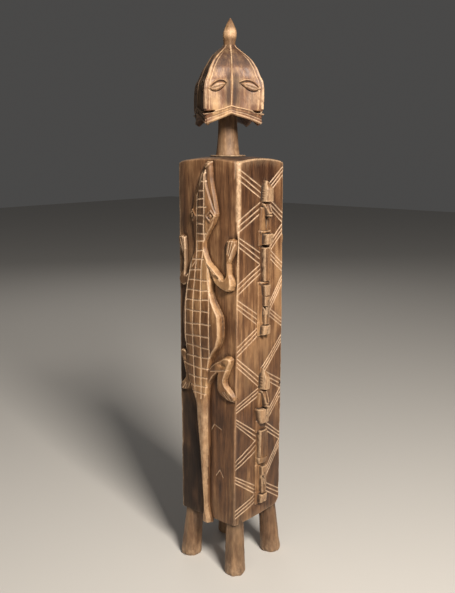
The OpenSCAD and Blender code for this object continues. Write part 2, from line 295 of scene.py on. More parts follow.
# Outlines of the right fore and hind legs, and the lines cut into them.
FORE_LEG = ((-4.9, 452), (7.5, 442.7), (14.7, 436.6), (29.1, 424), (33.1, 423.5), (34.7, 428), (34.3, 440),
            (34.5, 452), (34.1, 463), (36.1, 475), (44.8, 477), (51.7, 475), (50.1, 465.4), (44.8, 454.2),
            (39.3, 445), (40.5, 438), (41.5, 430.3), (45.1, 424.6), (47.3, 417), (44.6, 410),
            (37.3, 407.5), (27.9, 410.5), (19.1, 415.5), (12.6, 422.6), (9.1, 434), (1.1, 441))
HIND_LEG = ((6.9, 296.8), (10.8, 302.3), (19.1, 309), (25.7, 312.2), (32.2, 316.6), (37.1, 318.2),
            (42.6, 318.1), (45.6, 315.8), (45, 310.7), (39.4, 299.4), (34.2, 286.8), (33.6, 282.8),
            (35.4, 278), (45.1, 269.7), (49.1, 264.8), (50.3, 260.5), (47.5, 256.5), (37.1, 257.5),
            (29.1, 260.5), (24.1, 265), (20.7, 272), (20.1, 278.4), (21.3, 285.2), (22.7, 294),
            (14.9, 286.8), (4, 272.7), (-8.1, 254.2), (-12.9, 272), (1.1, 288))
FORE_LINES = (((35.7, 459), (38.1, 476)), ((38.1, 457.5), (42.1, 476)), ((40.4, 456), (46.4, 475)),
              ((41.6, 452), (50.1, 472)), ((41.2, 448.4), (51.8, 467.5)), ((-1.9, 447), (28.1, 421.5)))
HIND_LINES = (((33.9, 269.6), (46.8, 257.7)), ((31.1, 267.8), (38.7, 259)), ((40.4, 275.5), (47.1, 270)),
              ((11.6, 295), (43.3, 301.8)))
# Scooped places on the limbs: middle and half sizes.
FORE_SCOOP = (18.1, 424.5, 8, 5)
HIND_SCOOP = (30.1, 307, 9, 4.5)


def croc_middle(z):
    """Place of the lattice's middle line across the side."""
    return np.interp(z, CROC_GRID[:, 0], CROC_GRID[:, 1])


def croc_edges(z):
    """Left edge, right edge and rise of the crocodile's back at height z."""
    return [eased(z, CROC_LINE[:, 0], CROC_LINE[:, k], 2.0) for k in (1, 2, 3)]


def outline_depth(u, z, corners):
    """How deep points are inside a closed outline, negative outside; -99 far from it."""
    xs, zs = np.array(corners).T
    margin = 12.0
    close = (u > xs.min() - margin) & (u < xs.max() + margin)
    close = close & (z > zs.min() - margin) & (z < zs.max() + margin)
    depth = np.full(u.shape, -99.0)
    x, y = u[close], z[close]
    best, inner = np.full(x.shape, 99.0), np.zeros(x.shape, bool)
    for a, b in zip(corners, corners[1:] + corners[:1]):
        best = np.minimum(best, to_segment(x, y, a, b)[0])
        if a[1] != b[1]:
            spans = (a[1] > y) != (b[1] > y)
            inner = inner ^ (spans & (x < a[0] + (y - a[1]) * (b[0] - a[0]) / (b[1] - a[1])))
    depth[close] = np.where(inner, best, -best)
    return depth


def limb_frame(u, side):
    """Place across the right side's limb outlines: the left limbs mirror them about the body."""
    return u if side > 0 else np.interp(-u, (-60, -1, 15, 41, 61), (-74, -15, 1, 41, 61))


def croc_outline(u, z):
    """How deep a point of the side is inside the crocodile's outline, below 0 outside."""
    left, right, _ = croc_edges(z)
    inside = np.minimum(np.minimum(u - left, right - u), SNOUT_Z - z)
    for side in (-1, 1):
        for limb in (FORE_LEG, HIND_LEG):
            inside = np.maximum(inside, outline_depth(limb_frame(u, side), z, limb))
    return np.minimum(inside, HALF + 1 - np.abs(u))


def croc_field(u, z, seed):
    """Height above the side, depth of incision and rubbing of the whole crocodile."""
    left, right, rise = croc_edges(z)
    inside = np.minimum(np.minimum(u - left, right - u), SNOUT_Z - z)
    on_head, on_tail = smooth(NECK_Z, NECK_Z + 14, z), smooth(262, 246, z)
    wall = 2.2 - 0.8 * on_head + 1.4 * on_tail
    rim = 0.86 - 0.3 * on_head - 0.1 * on_tail
    crown = rim + (1 - rim) * smooth(0, 0.8, 2 * inside / (right - left))
    height = rise * crown * bevel(inside, wall)
    height = height + 0.2 * noise(u / 8, z / 30, seed, 2) * smooth(0, 4, inside)
    height = np.where(inside > 0, croc_head(u, z, inside, height), inside * 1.6)
    cut = croc_scales(u, z, inside, wall)
    for side in (-1, 1):
        x = limb_frame(u, side)
        lift = 3.2 + 3 * np.maximum(smooth(34, 27, x), smooth(431, 419, z))
        height, cut = add_limb(x, z, FORE_LEG, lift, FORE_SCOOP, FORE_LINES, height, cut)
        lift = 6.5 - 1.6 * smooth(290, 275, z) - 1.8 * smooth(270, 259, z)
        height, cut = add_limb(x, z, HIND_LEG, lift, HIND_SCOOP, HIND_LINES, height, cut)
    return height - cut, cut


def add_limb(x, z, outline, lift, scoop, lines, height, cut):
    """Lays one leg over what is there: a flat strap with a scooped place and cut lines."""
    deep = np.minimum(outline_depth(x, z, outline), HALF - 0.6 - np.abs(x))
    lift = lift * (0.6 + 0.4 * smooth(HALF, HALF - 7, x))
    mid_x, mid_z, half_x, half_z = scoop
    lift = lift - 2.6 * smooth(1, 0.2, np.hypot((x - mid_x) / half_x, (z - mid_z) / half_z))
    leg = np.where(deep > 0, lift * bevel(deep, 1.8), deep * 1.6)
    marks = 0
    for a, b in lines:
        marks = np.maximum(marks, groove(to_segment(x, z, a, b)[0], 1.7))
    over = leg > height
    return np.maximum(height, leg), np.where(over, marks * (deep > 0.6), cut)


def croc_scales(u, z, inside, wall):
    """The knife-cut lattice on the back and down the middle of the head."""
    middle, pitch = [eased(z, CROC_GRID[:, 0], CROC_GRID[:, k], 3.0) for k in (1, 2)]
    wobble = 0.35 * np.sin(z / 17) + 0.2 * np.sin(z / 6.1)
    cols = 0
    for k, low, high in ((-1.5, 270, 446), (-0.5, 252, 566), (0.5, 252, 566), (1.5, 286, 441)):
        line = middle + k * pitch + wobble * math.cos(9 * k)
        cols = np.maximum(cols, groove(u - line, 2.3) * (z > low) * (z < high))
    rows = 0
    for k, level in enumerate(CROC_ROWS):
        slope = 0.03 * math.sin(k * 2.4) + (0.05 if level > 340 else -0.02)
        off = u - middle
        band = groove(z - level - slope * off + 0.35 * np.sin(off / 5 + k), 2.3)
        left = 1.5 if level < 450 else 0.5
        right = 1.5 if level < 430 else 0.5
        tick = 1.2 + 2.6 * (k % 3 == 1)
        span = (off > -left * pitch - 1) & (off < right * pitch + tick)
        rows = np.maximum(rows, band * span)
    return np.maximum(cols, rows) * (inside > wall * 0.7)


def croc_head(u, z, inside, height):
    """Lowered jaws beside the snout, and eyes as nested lozenges."""
    jaw = np.interp(z, (508, 515, 530, 550, 567, 572), (0, 3, 5.6, 7, 6.4, 0))
    step = smooth(-0.6, 0.6, jaw - inside) * (jaw > 0)
    height = height * (1 - 0.35 * step) - 1.2 * groove(inside - jaw, 1.8) * (jaw > 0.5)
    aside = np.abs(u - croc_middle(z)) - 16.0
    for size, lift in ((1.0, 1.5), (0.66, -1.8), (0.34, 1.8)):
        lozenge = 1 - np.abs(aside) / (8.6 * size) - np.abs(z - 505.5) / (9.8 * size)
        height = height + lift * smooth(0, 0.2, lozenge)
    return height


def crocodile(name, quarter, seed):
    """A crocodile in relief, head up, on side number quarter."""
    step = CROC_STEP * COARSE
    across = np.arange(-HALF + 0.4, HALF - 0.39, step)
    up = np.arange(62, 577, step)
    u, z = np.meshgrid(across, up)
    height, cut = croc_field(u, z, seed)
    ragged = 68 + 1.2 * noise(u / 3, 0, seed + 5)
    height = np.where(z < ragged, np.minimum(height, (z - ragged) * 3), height)
    marks = relief_marks(height, step, cut)
    # Painted shade on the lattice strip down the head, and grime with painted shade over the crocodile's
    # left part.
    strip = smooth(9, 6, np.abs(u - croc_middle(z))) * smooth(470, 485, z) * (1 - cut)
    shady = 0.5 * smooth(-18, -34, u) * (1 - cut)
    marks["dirt_and_shade"] = np.maximum(marks["dirt_and_shade"], np.maximum(0.55 * strip, shady))
    # The tail and the crocodile low down are pale: rubbed wood and painted highlight.
    handled = 0.55 * smooth(262, 236, z) * (0.7 + 0.5 * noise(u / 4, z / 9, seed + 8, 2))
    marks["wear"] = np.maximum(marks["wear"], handled * (height > 1))
    return relief_piece(name + "_carved", u, z, height, marks, quarter,
                        "trunk", name, "worn_wood", carved_wood("raised"))


# ---- The ancestors ----

# An ancestor's blocks from the feet up: lowest, highest, middle, half width at its foot and at
# its top, relief. Its pits have the relief of their floors. The head: chin, brow, top of the
# crest, middle and half width. Heights are above the soles.
UPPER = {
    "blocks": ((2, 22, -2, 10, 10.6, 2.4), (3, 17, -0.8, 8.2, 7.4, 9), (18, 60, -2.6, 9.2, 9.4, 2.2),
               (17, 58, 0.6, 5.4, 6.2, 7.5), (55, 77, -0.8, 11, 11.6, 2.6),
               (73, 77.5, -0.2, 10.8, 10.8, 5.2), (57, 73.5, -0.4, 4.8, 7, 8.6),
               (77, 125, 1, 5.8, 7, 6.6), (127, 147, -0.2, 11, 11.2, 2.6),
               (142.5, 147, 0, 10.6, 10.6, 5.4), (127.5, 143, 1.4, 7.2, 7.6, 10.6),
               (145, 178, -0.4, 8.6, 8, 2.6)),
    "pits": ((0, 12, -1.6, 2.6, 0.7, 1.5), (16, 52, 0.2, 0.6, 0.6, 3), (30, 44, -2.6, 0.3, 2.8, 0.8),
             (123.5, 127.4, 1, 8, 8, 0.8), (130, 136, 5, 1.1, 1.3, 7), (149, 166, 1.4, 0.5, 3.4, 0.3)),
    "torso": 7,
    "head": (165, 185.5, 213, 0.4, 7.8)
}
LOWER = {
    "blocks": ((2, 22, -2.4, 9.6, 10, 2.4), (4, 18, -1, 7.4, 7.8, 8.6), (18, 62, -3, 8.6, 9.4, 2.2),
               (18, 60, 0, 5.4, 6.2, 7.4), (64, 74, -1, 9, 10.2, 7), (55, 66, -1, 9, 10, 2.4),
               (70, 114, -0.8, 9.8, 8, 6.6), (110, 128, -1, 10, 10, 2.2),
               (124, 146, -0.2, 8.4, 13, 9.4), (144, 168, 0.2, 8, 6.4, 2.6)),
    "pits": ((0, 11, -1.8, 2.2, 0.6, 1.5), (20, 50, -0.4, 0.6, 0.6, 3), (32, 46, -2.6, 0.3, 2.6, 0.8),
             (115, 125, 5.6, 1.5, 1.7, 2), (134, 147, 0.8, 0.4, 3.2, 0.8)),
    "torso": 6,
    "head": (147, 174, 202, 0.7, 6.4)
}


FIGURE_HALF = 16.0  # half the width of the strip that a figure stands in


def wedge(u, s, low, high, middle, half_low, half_high, soft=1.4):
    """How deep a point is inside a block that widens or narrows upwards, with rounded corners."""
    half = half_low + (half_high - half_low) * np.clip((s - low) / (high - low), 0, 1)
    a = np.abs(u - middle) - half + soft
    b = np.abs(s - (low + high) / 2) - (high - low) / 2 + soft
    return soft - np.hypot(np.maximum(a, 0), np.maximum(b, 0)) - np.minimum(np.maximum(a, b), 0)


def raised(inside, height, wall=1.6):
    """A mass of a given height with a rounded wall, falling away outside."""
    return np.where(inside > 0, height * swell(inside, wall), inside * 2)


def ancestor_head(u, s, chin, brow, top, middle, half, proud):
    """A tall helmet over a narrow sunk face with a straight nose and a jutting chin."""
    down = np.clip((brow - s) / (brow - chin), 0, 1)
    x = u - middle - 2.0 * down
    heights = [chin - 2, chin + 4, brow - 2, brow, brow + 3, top - 10, top - 4, top]
    widths = [0.3, 0.42, 0.95, 1, 1, 0.8, 0.5, 0.1]
    inside = np.minimum(eased(s, heights, np.array(widths) * half, 0.8) - np.abs(x),
                        np.minimum(top - s, s - chin + 2))
    crown = proud - 0.05 * (x - 1.5) ** 2 - 7 * smooth(top - 13, top + 1, s)
    face = proud * (0.62 + 0.4 * down ** 1.5) - 0.5 * np.abs(x - 1) * (1 - 0.5 * down)
    nose = smooth(2.2, 0.9, np.abs(x - 0.8)) * smooth(chin + 6, chin + 8, s)
    face = face + (1.0 + 1.2 * down) * nose
    face = face - 1.8 * groove(s - chin - 3.4, 1.8) * smooth(3.2, 2.6, np.abs(x))
    face = face - groove(np.abs(x) - 3.6, 2.6) * groove(s - brow + 6, 3.0)
    face = face - 2.4 * smooth(brow - 4.5, brow - 1.5, s)
    return raised(inside, np.where(s > brow, crown, face), 1.4)


def ancestor_field(u, s, figure, proud, seed):
    """Height above the side of a standing ancestor, and its pits; s is the height above its soles."""
    height = ancestor_head(u, s, *figure["head"], proud)
    for block in figure["blocks"]:
        low, high, middle = block[:3]
        lift = block[5] - 0.022 * (u - middle) ** 2 + 0.8 * smooth(low, high, s) - 0.8
        height = np.maximum(height, raised(wedge(u, s, *block[:5]), lift))
    # Ridges down both edges of the torso and a groove between them.
    low, high, middle, half = figure["blocks"][figure["torso"]][:4]
    along = smooth(low, low + 6, s) * smooth(high, high - 6, s)
    ridge = groove(np.abs(u - middle) - half + 2.4, 2.2) - 0.7 * groove(u - middle, 1.6)
    height = height + 0.8 * ridge * along * (height > 2)
    knees = np.hypot(np.abs(u - middle + 2.6) - 4.0, (s - 34) / 1.6)
    height = height + 1.2 * smooth(4.4, 1.0, knees) * (height > 2)
    hollow = np.zeros(u.shape)
    for pit in figure["pits"]:
        deep = wedge(u, s, *pit[:5], 0.6)
        floor = np.maximum(pit[5], height - 7 * deep)
        height = np.where(deep > 0, np.minimum(height, floor), height)
        hollow = np.maximum(hollow, smooth(-0.3, 0.7, deep))
    height = height + 0.3 * noise(u / 4, s / 8, seed, 2) * smooth(0.5, 3, height)
    return height, hollow


def figure_place(name):
    """Middle and sole height of an ancestor on its side, and how far it stands proud."""
    lo, hi = box_mm(name)
    turn = 1 if lo[0] > 0 else -1
    proud = hi[0] - HALF if turn > 0 else -HALF - lo[0]
    return turn * (lo[1] + hi[1]) / 2, lo[2], proud


def ancestor(name, quarter, seed):
    """A standing ancestor in relief on side number quarter."""
    middle, sole, proud = figure_place(name)
    figure = UPPER if name.endswith("upper") else LOWER
    step = ANCESTOR_STEP * COARSE
    across = np.arange(-FIGURE_HALF, FIGURE_HALF + 0.01, step)
    up = np.arange(sole - 2, sole + figure["head"][2] + 2, step)
    u, z = np.meshgrid(across, up)
    height, hollow = ancestor_field(u, z - sole, figure, proud, seed)
    marks = relief_marks(height, step, np.zeros_like(u))
    slope = np.hypot(*np.gradient(height, step))
    # Grime and painted shade on the steep walls, and painted shade in the pits.
    flank = 0.62 * smooth(0.7, 2.2, slope) * (height > 0.4)
    marks["dirt_and_shade"] = np.maximum(np.maximum(marks["dirt_and_shade"], flank), 0.9 * hollow)
    # The flat fronts are pale: rubbed wood and painted highlight.
    front = 0.42 * smooth(5.5, 8.5, height) * (1 - smooth(0.3, 0.9, slope))
    marks["wear"] = np.maximum(marks["wear"], front)
    return relief_piece(name + "_carved", u + middle, z, height, marks, quarter,
                        "trunk", name, "worn_wood", carved_wood("raised"))


def figures_outside(u, z, quarter):
    """Distance from a point of an ancestors' side to the nearer of its two figures."""
    near = np.full(u.shape, 99.0)
    side = {1: "right", 3: "left"}[quarter]
    for part, figure in (("upper", UPPER), ("lower", LOWER)):
        middle, sole, _ = figure_place("ancestor_" + side + "_" + part)
        inside = wedge(u - middle, z - sole, figure["head"][0] - 2, figure["head"][2],
                       figure["head"][3], figure["head"][4], 2)
        for block in figure["blocks"]:
            inside = np.maximum(inside, wedge(u - middle, z - sole, *block[:5]))
        near = np.minimum(near, -inside)
    return near


# ---- The trunk ----

# Bands of three cut lines across the ancestors' sides, left (-1) and right (1) of the figures:
# heights of the first and the last line at the edge, then the same at the middle.
BANDS = {
    -1: ((569, 555, 541, 526), (500, 485, 525, 510), (481, 469, 453, 437), (417, 404, 441, 428),
         (397, 386, 366, 350), (333, 320, 356, 345), (318, 306, 277, 263), (251, 241, 267, 256),
         (232, 223, 195, 180), (170, 158, 195, 178), (148, 139, 114, 101), (96, 86, 112, 100)),
    1: ((569, 558, 536, 524), (505, 493, 537, 524), (491, 479, 452, 440), (436, 425, 471, 459),
        (418, 406, 359, 347), (357, 346, 387, 377), (332, 321, 291, 279), (266, 254, 292, 280),
        (253, 241, 210, 198), (186, 175, 219, 207), (175, 164, 125, 113), (97, 84, 126, 114))
}
BAND_MIDDLE, BAND_END = 4.0, 2.4  # where the bands meet, and their gap to the edges


def zigzag(u, z):
    """Depth of the bands of three lines that cross the ancestors' sides."""
    deep = np.zeros(u.shape)
    for end, bands in BANDS.items():
        for edge_0, edge_1, mid_0, mid_1 in bands:
            for share in (0, 0.5, 1):
                shake = 0.4 * math.sin(9 * share + edge_0)
                a = (end * (HALF - BAND_END), edge_0 + (edge_1 - edge_0) * share + shake)
                b = (BAND_MIDDLE, mid_0 + (mid_1 - mid_0) * share - shake)
                deep = np.maximum(deep, groove(to_segment(u, z, a, b)[0], 2.2))
    return deep


def scratches(u, z):
    """Light inverted-V scratches beside the crocodile's tail."""
    deep = 0
    for apex, left, right in (((12, 217), (6.6, 208), (25, 212)), ((22, 152), (15, 142), (28, 142))):
        for foot in (left, right):
            deep = np.maximum(deep, 0.8 * groove(to_segment(u, z, apex, foot)[0], 1.6))
    return deep


CUT_DEPTH = 1.15  # of the lines cut into a side
CROC_DITCH, FIGURE_DITCH = 6.5, 5.0  # width of the ground cut down round the reliefs


def side_field(quarter, u, z):
    """Depth carved into a side, and its incisions, on side number quarter."""
    seed = 20 + quarter
    sunk = 0.35 + 0.35 * noise(u / 11, z / 60, seed, 2) + 0.25 * noise(u / 4, z / 38, seed + 9)
    sunk = sunk + 0.5 * noise(u / 55, z / 110, seed + 4)
    if quarter % 2 == 0:
        outside = -croc_outline(u, z)
        sunk = sunk + 1.9 * np.clip(1 - np.maximum(outside, 0) / CROC_DITCH, 0, 1)
        cut = scratches(u, z)
        edge_line = groove(np.abs(u - HALF + 6), 1.2) * smooth(553, 557, z)
        cut = np.maximum(cut, edge_line * (quarter == 0))
    else:
        cut = zigzag(u, z)
        outside = figures_outside(u, z, quarter)
        sunk = sunk + 1.2 * np.clip(1 - np.maximum(outside, 0) / FIGURE_DITCH, 0, 1)
        worn = 0.85 + 0.3 * noise(u / 9, z / 13, seed + 2)
        cut = cut * np.clip(worn, 0.5, 1)
        line = groove(np.abs(u + HALF - 2.6 + 0.5 * np.sin(z / 30)), 1.3)
        cut = np.maximum(cut, line * (0.2 + 0.6 * smooth(420, 480, z)))
    return np.maximum(sunk, 0.02) + CUT_DEPTH * cut, cut


def edge_radius(corner, z):
    """Rounding of an upright edge: knife-cut, chipped and rubbed by hands."""
    seed = 50 + corner
    r = 1.9 + 0.7 * noise(z / 23, 0, seed) + 0.8 * np.clip(noise(z / 5.5, 0, seed + 7), 0, 1)
    if corner == 0:
        r = r + 2.6 * smooth(478, 492, z) * (1 + 0.25 * noise(z / 7, 0, 71))
    if corner == 1:
        r = r + 7 * smooth(BASE_Z + 9, BASE_Z + 1, z)
    ends = np.minimum(z - BASE_Z, SHOULDER_Z - z)
    return np.clip(r + 1.2 * smooth(5, 0, ends), 1.1, 10.0)


def edge_wear(quarter, across, z):
    """How much an upright edge is rubbed: the front one only in its upper half."""
    front = (across > 0) if quarter == 0 else (across < 0) & (quarter == 1)
    return np.where(front, 0.22 + 0.78 * smooth(360, 470, z), 0.8)


def recess(quarter, end, z):
    """How far the left (-1) or right (1) end of a side falls back: no side is quite true."""
    upper, lower = smooth(300, 560, z), smooth(320, 100, z)
    leans = {(0, 1): 5.2 * upper, (1, -1): 3.1 * lower, (1, 1): 1.2 * lower, (2, -1): 1.5 * upper,
             (2, 1): 2.0 * lower, (3, -1): 1.4 * upper, (3, 1): 0.8 * lower, (0, -1): 0.8 * upper}
    return leans[(quarter, end)]


def crust_and_shade(quarter, u, z):
    """Old blackish crust with painted shade: on the left of a crocodile's side, and towards the ground
    everywhere.
    """
    blotchy = 0.4 * noise(u / 9, z / 26, 130 + quarter, 3)
    if quarter % 2 == 0:
        # Painted shade over the part of the side left of the crocodile, deeper low down.
        reach = np.interp(z, (100, 260, 420, 575), (-6, -16, -30, -36))
        crust = (0.5 + 0.45 * smooth(420, 130, z)) * smooth(reach + 14, reach - 14, u)
        return np.clip(crust * (1 + 0.8 * blotchy) + 0.5 * blotchy, 0, 0.96)
    return np.clip(0.2 * smooth(300, 90, z) + blotchy, 0, 0.7)


def dome_z(r):
    """Height of the trunk's top at the distance r from its axis."""
    return np.minimum(SEAT_Z - 0.05, SHOULDER_Z + DOME_RISE - r * r / (2 * DOME_R))


def trunk_wall(shares, columns):
    """Points and marks of the four sides between the underside and the upper edge."""
    parts, marks = [], {k: [] for k in MARKS}
    across = np.arange(columns)[None, :] / columns * 2 - 1
    z = BASE_Z + shares[:, None] * (dome_z(HALF * np.sqrt(1 + across ** 2)) - BASE_Z)
    tuck = 1 - math.sqrt(0.5)
    for quarter in range(4):
        left, right = edge_radius((quarter - 1) % 4, z), edge_radius(quarter, z)
        start = HALF - recess((quarter - 1) % 4, 1, z)
        end = HALF - recess((quarter + 1) % 4, -1, z)
        u = np.where(across < 0, across * (start - left * tuck), across * (end - right * tuck))
        r = np.where(across < 0, left, right)
        bound = np.where(across < 0, start, end)
        into = np.clip(np.abs(u) - (bound - r), 0, r * math.sqrt(0.5))
        offset = r - np.sqrt(r * r - into * into)
        lean = np.where(across < 0, recess(quarter, -1, z), recess(quarter, 1, z)) * across ** 2
        sunk, cut = side_field(quarter, u, z)
        near = smooth(0, 4, bound - np.abs(u))
        rim = np.minimum(z - BASE_Z, (1 - shares[:, None]) * (SHOULDER_Z - BASE_Z))
        bevelled = 1.8 * np.clip(1 - rim / 1.8, 0, 1) ** 2
        depth = offset + lean + sunk * near + bevelled
        points = np.stack([u * (1 - bevelled / HALF), -HALF + depth, z], -1)
        parts.append(turned(points, quarter))
        edge = smooth(r * 1.25, r * 0.6, bound - np.abs(u)) * edge_wear(quarter, across, z)
        frayed = 0.5 + 0.5 * noise(u / 2.2, z / 3.5, 80 + quarter, 2)
        # A pale band along each side's upper and lower rims: rubbed wood and painted highlight.
        brow = (0.12, 0.6)[quarter % 2]
        marks["cut"].append(cut)
        marks["wear"].append(np.maximum(edge * (0.4 + 0.6 * frayed), smooth(3.0, 0.5, rim) * brow))
        # Grime and painted shade in the sunk ground round the reliefs and close beside the figures.
        ditch_grime_and_shade = smooth(0.8, 2.6, sunk - CUT_DEPTH * cut) * 0.5
        if quarter % 2:
            ditch_grime_and_shade = np.maximum(ditch_grime_and_shade, 0.6 * smooth(3, 0, figures_outside(u, z, quarter)))
        marks["dirt_and_shade"].append(np.maximum(ditch_grime_and_shade, crust_and_shade(quarter, u, z)))
    return np.concatenate(parts, 1), {k: np.concatenate(v, 1) for k, v in marks.items()}


def trunk():
    """The whole trunk: four carved sides, a domed top, and the mouth and hollow inside."""
    wall, marks = trunk_wall(fine_shares(TRUNK_ROWS), int(TRUNK_COLUMNS / COARSE))
    around = wall.shape[1]
    foot, brim = wall[0], wall[-1]
    theta = np.arctan2(brim[:, 1] - AXIS[1], brim[:, 0] - AXIS[0])
    circle = np.stack([np.cos(theta), np.sin(theta)], -1)
    rings, rows = [], {k: [] for k in MARKS}

    def add(points, level, worn=0.0, painted_shade=0.0):
        rings.append(np.column_stack([points, np.broadcast_to(level, (around,))]))
        for key, value in zip(MARKS, (0.0, worn, painted_shade)):
            rows[key].append(np.broadcast_to(value, (around,)))

    # The underside is painted with shade.
    for share in (0.02, 0.3, 0.6, 0.85, 0.97):
        flat = foot[:, :2] * share
        rough = 0.5 * noise(flat[:, 0] / 6, flat[:, 1] / 6, 90)
        add(flat, BASE_Z + 0.5 + rough, 0.15, 0.5)
    rings.extend(wall)
    for key in MARKS:
        rows[key].extend(marks[key])
    # The domed top is painted with deep shade and rubbed only at the brim.
    steps = int(46 / COARSE)
    lip = 0.7
    for k in range(1, steps + 1):
        t = k / steps
        flat = brim[:, :2] * (1 - t) + (AXIS + circle * (MOUTH_R + lip)) * t
        r = np.hypot(flat[:, 0], flat[:, 1])
        level = dome_z(r)
        angle = np.arctan2(flat[:, 1], flat[:, 0])
        rough = 0.35 * noise(angle * 5, r / 9, 91, 2) + 0.2 * noise(flat[:, 0] / 4, flat[:, 1] / 4, 92)
        rough = (rough - 0.4) * smooth(26, 32, r) * smooth(0, 0.06, t)
        add(flat, level + rough, 0.2 * smooth(0.08, 0.0, t), 0.6 + 0.25 * smooth(0.3, 0.6, t))
    mouth_low = SEAT_Z - MOUTH_DEPTH
    wide_top = mouth_low - (HOLLOW_R - MOUTH_R)
    floor = BASE_Z + FLOOR_H
    # The mouth's lip is rubbed; the mouth and the hollow below it are painted with shade, deepest at the
    # floor.
    add(AXIS + circle * MOUTH_R, SEAT_Z - lip, 0.5)
    add(AXIS + circle * MOUTH_R, SEAT_Z - 2.5, 0.2, 0.2)
    add(AXIS + circle * MOUTH_R, mouth_low + 1, 0.0, 0.5)
    for t in (0.0, 0.35, 0.7, 1.0):
        centre = AXIS * (1 - t)
        add(centre + circle * (MOUTH_R + (HOLLOW_R - MOUTH_R) * t),
            mouth_low + (wide_top - mouth_low) * t, 0.0, 0.7)
    for level in np.linspace(wide_top - 6, floor + 8, int(90 / COARSE)):
        gouged = 0.7 * noise(theta * 6, level / 22, 93, 2)
        add(circle * (HOLLOW_R - 0.8 + gouged)[:, None], level, 0.0, 0.8)
    for deg in (30, 60, 85):
        a = math.radians(deg)
        add(circle * (HOLLOW_R - 9 + 8 * math.cos(a)), floor + 8 - 8 * math.sin(a), 0.0, 0.9)
    for share in (0.6, 0.25, 0.02):
        add(circle * (HOLLOW_R * share), floor, 0.0, 0.9)
    marks = {k: np.array(v) for k, v in rows.items()}
    return tube_piece("trunk_carved", np.array(rings), marks, "trunk", "trunk", "carved_wood",
                      carved_wood("ground"))


# ---- The legs ----

LEG_FOOT_R, LEG_TOP_R = 15.6, 12.6
LEG_CLEAR = 16.1  # from a foot's axis to the side of its CAD box
LEG_SPLAY = 4.5  # a foot stands so far outside its top, both ways


def leg(name, seed):
    """A stout hewn peg that spreads towards the ground, its top let into the trunk."""
    lo, hi = box_mm(name)
    sx = 1 if hi[0] + lo[0] > 0 else -1
    sy = 1 if hi[1] + lo[1] > 0 else -1
    out = np.array([max(abs(lo[0]), abs(hi[0])), max(abs(lo[1]), abs(hi[1]))]) - LEG_CLEAR
    foot = np.array([sx, sy]) * out
    top = foot - np.array([sx, sy]) * LEG_SPLAY
    theta = full_turn(150)
    z = (BASE_Z + 7) * fine_shares(150)[:, None]
    t = z / BASE_Z
    r = LEG_FOOT_R + (LEG_TOP_R - LEG_FOOT_R) * np.clip(t, 0, 1.2) ** 0.8
    flats = np.cos(theta * 7 + seed + 0.5 * np.sin(t * 3)) * 0.28
    hewn = 0.55 * noise(theta * 6.4 / math.pi + seed, z / 19, seed, 2)
    hewn = hewn + 0.3 * noise(np.cos(theta) * 5 + 9, np.sin(theta) * 5 + z / 60, seed + 3, 2)
    r = r + flats + hewn - 0.5
    burr = 1 - np.sqrt(np.clip(1 - np.clip(1 - z / 5.0, 0, 1) ** 2, 0, 1))
    r = r - 4.0 * burr * (0.85 + 0.3 * noise(theta * 4, 0, seed + 1))
    r = np.minimum(r, 15.9)
    centre = foot + (top - foot) * t[:, :, None]
    x = centre[..., 0] + r * np.cos(theta)
    y = centre[..., 1] + r * np.sin(theta)
    level = np.broadcast_to(z, x.shape)
    rings = np.stack([x, y, level], -1)
    ends = []
    for share in (0.04, 0.35, 0.62, 0.85):
        inner = foot + (rings[0][:, :2] - foot) * share
        ends.append(np.column_stack([inner, np.full(len(theta), 0.15 * (share < 0.7))]))
    rings = np.concatenate([np.array(ends), rings])
    low = smooth(30, 0, rings[..., 2])
    scuffed = 0.5 + 0.5 * noise(theta * 5, rings[..., 2] / 8, seed + 6, 2)
    wear = 0.12 * scuffed + 0.5 * low * scuffed + 0.4 * smooth(2.5, 0.5, rings[..., 2])
    # Painted shade on the leg's top under the trunk, and grime low down where it is not scuffed.
    dirt_and_shade = 0.6 * smooth(BASE_Z - 9, BASE_Z, rings[..., 2]) + 0.25 * (1 - scuffed) * low
    marks = {"cut": np.zeros(wear.shape), "wear": wear, "dirt_and_shade": dirt_and_shade}
    return tube_piece(name + "_hewn", rings, marks, "trunk", name, "foot_wood",
                      carved_wood("foot"))


# ---- The stopper, neck and topknot ----

def leaned(points):
    """The head and its topknot lean a little, away from the middle between the two visible sides."""
    shift = np.interp(points[..., 2], (CHIN_Z + 26, CROWN_Z, knot_hi[2]), (0, 2.3, 3.2))
    lean = np.stack([shift * math.cos(LEAN_TO), shift * math.sin(LEAN_TO), np.zeros_like(shift)], -1)
    return points + lean


def turned_piece(name, node, body, slot, kind, levels, radii, rough, wear, seed):
    """A round hand-worked piece about the stopper's axis, from radii at levels."""
    theta = full_turn(160)
    z, r0 = np.asarray(levels, float)[:, None], np.asarray(radii, float)[:, None]
    flats = rough * (0.6 * noise(theta * 2.2 + seed, z / 17, seed, 2)
                     + 0.4 * noise(np.cos(theta) * 3 + 7, np.sin(theta) * 3 + z / 9, seed + 2, 2))
    r = r0 + flats * np.minimum(1, r0 / 6) * (r0 > 1)
    x = AXIS[0] + r * np.cos(theta)
    y = AXIS[1] + r * np.sin(theta)
    rings = np.stack([x, y, np.broadcast_to(z, x.shape)], -1)
    rings = leaned(rings)
    rub = np.broadcast_to(np.asarray(wear, float)[:, None], x.shape)
    frayed = 0.6 + 0.4 * noise(theta * 6, z / 4, seed + 4, 2)
    marks = {"cut": np.zeros(x.shape), "wear": rub * frayed, "dirt_and_shade": 0.45 * (1 - rub) ** 2}
    return tube_piece(name, rings, marks, body, node, slot, carved_wood(kind))


